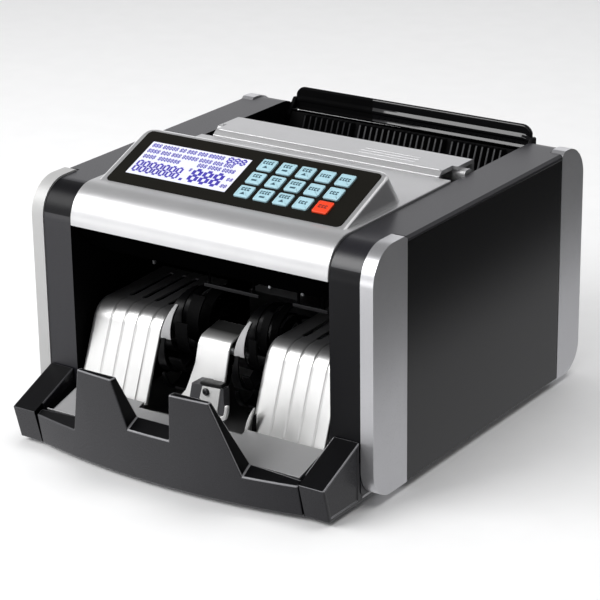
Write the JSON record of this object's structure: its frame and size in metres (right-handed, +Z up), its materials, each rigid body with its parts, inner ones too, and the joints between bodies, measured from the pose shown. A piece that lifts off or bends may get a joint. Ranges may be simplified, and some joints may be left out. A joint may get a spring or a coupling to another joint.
{
  "type": "banknote counting machine",
  "caption": "Desktop banknote counter with a rear hopper, a sloping keypad and display console, driven rollers and stacker wheels, and a toothed front tray.",
  "frame": {"origin": "on the desk, under the middle of the machine's outline", "axes": "+X across the machine to the operator's right, -Y towards the operator, +Z up"},
  "size_m": [0.2556, 0.3167, 0.1843],
  "materials": {
    "silver_shell": "satin metallic paint",
    "silver_trim": "satin metallic paint",
    "charcoal_shell": "fine texture",
    "black_shell": "satin",
    "gloss_black": "gloss",
    "overlay_film": "satin film",
    "display_glass": "lit display",
    "key_caps": "satin",
    "key_cap_red": "satin",
    "bright_steel": "polished sheet",
    "grey_steel": "satin sheet",
    "black_rubber": "matte",
    "circuit_board": "solder mask",
    "motor_steel": "satin",
    "supply_parts": "mixed board parts"
  },
  "bodies": {
    "chassis": {"base_pan": "grey_steel", "foot_front_left": "black_rubber", "foot_front_right": "black_rubber", "foot_rear_left": "black_rubber", "foot_rear_right": "black_rubber", "cheek_left": "charcoal_shell", "cheek_right": "charcoal_shell", "side_panel_left": "black_shell", "side_panel_right": "black_shell", "front_trim_left": "silver_trim", "front_trim_right": "silver_trim", "rear_trim_left": "silver_trim", "rear_trim_right": "silver_trim", "hood": "silver_shell", "control_overlay": "overlay_film", "control_board": "circuit_board", "display_module": "display_glass", "hopper_cover": "silver_shell", "hopper_comb": "black_shell", "rear_cover": "black_shell", "mains_inlet": "black_shell", "switch_frame": "black_shell", "tray_front": "charcoal_shell", "tray_end_left": "charcoal_shell", "tray_end_right": "charcoal_shell", "tray_floor": "grey_steel", "stacker_plate_left": "bright_steel", "stacker_plate_right": "bright_steel", "centre_guide": "bright_steel", "sensor_bracket": "grey_steel", "stacker_belt": "black_rubber", "feed_belt": "black_rubber", "drive_motor": "motor_steel", "upper_guide": "black_shell", "lower_guide": "black_shell", "power_supply": "supply_parts"},
    "key_1_1": {"key_1_1": "key_caps"},
    "key_1_2": {"key_1_2": "key_caps"},
    "key_1_3": {"key_1_3": "key_caps"},
    "key_1_4": {"key_1_4": "key_caps"},
    "key_1_5": {"key_1_5": "key_caps"},
    "key_2_1": {"key_2_1": "key_caps"},
    "key_2_2": {"key_2_2": "key_caps"},
    "key_2_3": {"key_2_3": "key_caps"},
    "key_2_4": {"key_2_4": "key_caps"},
    "key_2_5": {"key_2_5": "key_caps"},
    "key_3_1": {"key_3_1": "key_caps"},
    "key_3_2": {"key_3_2": "key_caps"},
    "key_3_3": {"key_3_3": "key_caps"},
    "key_3_4": {"key_3_4": "key_caps"},
    "key_3_5": {"key_3_5": "key_cap_red"},
    "note_flap": {"note_flap": "gloss_black"},
    "switch_rocker": {"switch_rocker": "gloss_black"},
    "stacker": {"stacker_shaft": "bright_steel", "stacker_wheel_left": "black_rubber", "stacker_wheel_right": "black_rubber"},
    "count_roller": {"count_roller": "black_rubber"},
    "kick_roller": {"kick_roller": "black_rubber"},
    "motor_pulley": {"motor_pulley": "bright_steel"}
  },
  "joints": [
    {"name": "key_1_1_press", "type": "slide", "parent": "chassis", "child": "key_1_1", "axis": [0, 0.3761, -0.9266], "range_m": [0, 0.0008], "stiffness_N_per_m": 800, "springref_m": -0.0004},
    {"name": "key_1_2_press", "type": "slide", "parent": "chassis", "child": "key_1_2", "axis": [0, 0.3761, -0.9266], "range_m": [0, 0.0008], "stiffness_N_per_m": 800, "springref_m": -0.0004},
    {"name": "key_1_3_press", "type": "slide", "parent": "chassis", "child": "key_1_3", "axis": [0, 0.3761, -0.9266], "range_m": [0, 0.0008], "stiffness_N_per_m": 800, "springref_m": -0.0004},
    {"name": "key_1_4_press", "type": "slide", "parent": "chassis", "child": "key_1_4", "axis": [0, 0.3761, -0.9266], "range_m": [0, 0.0008], "stiffness_N_per_m": 800, "springref_m": -0.0004},
    {"name": "key_1_5_press", "type": "slide", "parent": "chassis", "child": "key_1_5", "axis": [0, 0.3761, -0.9266], "range_m": [0, 0.0008], "stiffness_N_per_m": 800, "springref_m": -0.0004},
    {"name": "key_2_1_press", "type": "slide", "parent": "chassis", "child": "key_2_1", "axis": [0, 0.3761, -0.9266], "range_m": [0, 0.0008], "stiffness_N_per_m": 800, "springref_m": -0.0004},
    {"name": "key_2_2_press", "type": "slide", "parent": "chassis", "child": "key_2_2", "axis": [0, 0.3761, -0.9266], "range_m": [0, 0.0008], "stiffness_N_per_m": 800, "springref_m": -0.0004},
    {"name": "key_2_3_press", "type": "slide", "parent": "chassis", "child": "key_2_3", "axis": [0, 0.3761, -0.9266], "range_m": [0, 0.0008], "stiffness_N_per_m": 800, "springref_m": -0.0004},
    {"name": "key_2_4_press", "type": "slide", "parent": "chassis", "child": "key_2_4", "axis": [0, 0.3761, -0.9266], "range_m": [0, 0.0008], "stiffness_N_per_m": 800, "springref_m": -0.0004},
    {"name": "key_2_5_press", "type": "slide", "parent": "chassis", "child": "key_2_5", "axis": [0, 0.3761, -0.9266], "range_m": [0, 0.0008], "stiffness_N_per_m": 800, "springref_m": -0.0004},
    {"name": "key_3_1_press", "type": "slide", "parent": "chassis", "child": "key_3_1", "axis": [0, 0.3761, -0.9266], "range_m": [0, 0.0008], "stiffness_N_per_m": 800, "springref_m": -0.0004},
    {"name": "key_3_2_press", "type": "slide", "parent": "chassis", "child": "key_3_2", "axis": [0, 0.3761, -0.9266], "range_m": [0, 0.0008], "stiffness_N_per_m": 800, "springref_m": -0.0004},
    {"name": "key_3_3_press", "type": "slide", "parent": "chassis", "child": "key_3_3", "axis": [0, 0.3761, -0.9266], "range_m": [0, 0.0008], "stiffness_N_per_m": 800, "springref_m": -0.0004},
    {"name": "key_3_4_press", "type": "slide", "parent": "chassis", "child": "key_3_4", "axis": [0, 0.3761, -0.9266], "range_m": [0, 0.0008], "stiffness_N_per_m": 800, "springref_m": -0.0004},
    {"name": "key_3_5_press", "type": "slide", "parent": "chassis", "child": "key_3_5", "axis": [0, 0.3761, -0.9266], "range_m": [0, 0.0008], "stiffness_N_per_m": 800, "springref_m": -0.0004},
    {"name": "note_flap_hinge", "type": "hinge", "parent": "chassis", "child": "note_flap", "pos_m": [0, 0.142, 0.15], "axis": [1, 0, 0], "range_deg": [0, 90]},
    {"name": "switch_rocker_hinge", "type": "hinge", "parent": "chassis", "child": "switch_rocker", "pos_m": [-0.024, 0.1515, 0.034], "axis": [0, 0, 1], "range_deg": [0, 14]},
    {"name": "stacker_spin", "type": "hinge", "parent": "chassis", "child": "stacker", "pos_m": [0, -0.06, 0.062], "axis": [1, 0, 0], "continuous": true},
    {"name": "count_roller_spin", "type": "hinge", "parent": "chassis", "child": "count_roller", "pos_m": [0, 0.066, 0.093], "axis": [1, 0, 0], "continuous": true},
    {"name": "kick_roller_spin", "type": "hinge", "parent": "chassis", "child": "kick_roller", "pos_m": [0, 0.097, 0.0885], "axis": [1, 0, 0], "continuous": true},
    {"name": "motor_spin", "type": "hinge", "parent": "chassis", "child": "motor_pulley", "pos_m": [0, 0.02, 0.04], "axis": [1, 0, 0], "continuous": true}
  ],
  "couplings": [
    {"joint": "motor_spin", "follows": "stacker_spin", "ratio": 2.5},
    {"joint": "count_roller_spin", "follows": "stacker_spin", "ratio": 1.5},
    {"joint": "kick_roller_spin", "follows": "stacker_spin", "ratio": 1.5}
  ]
}
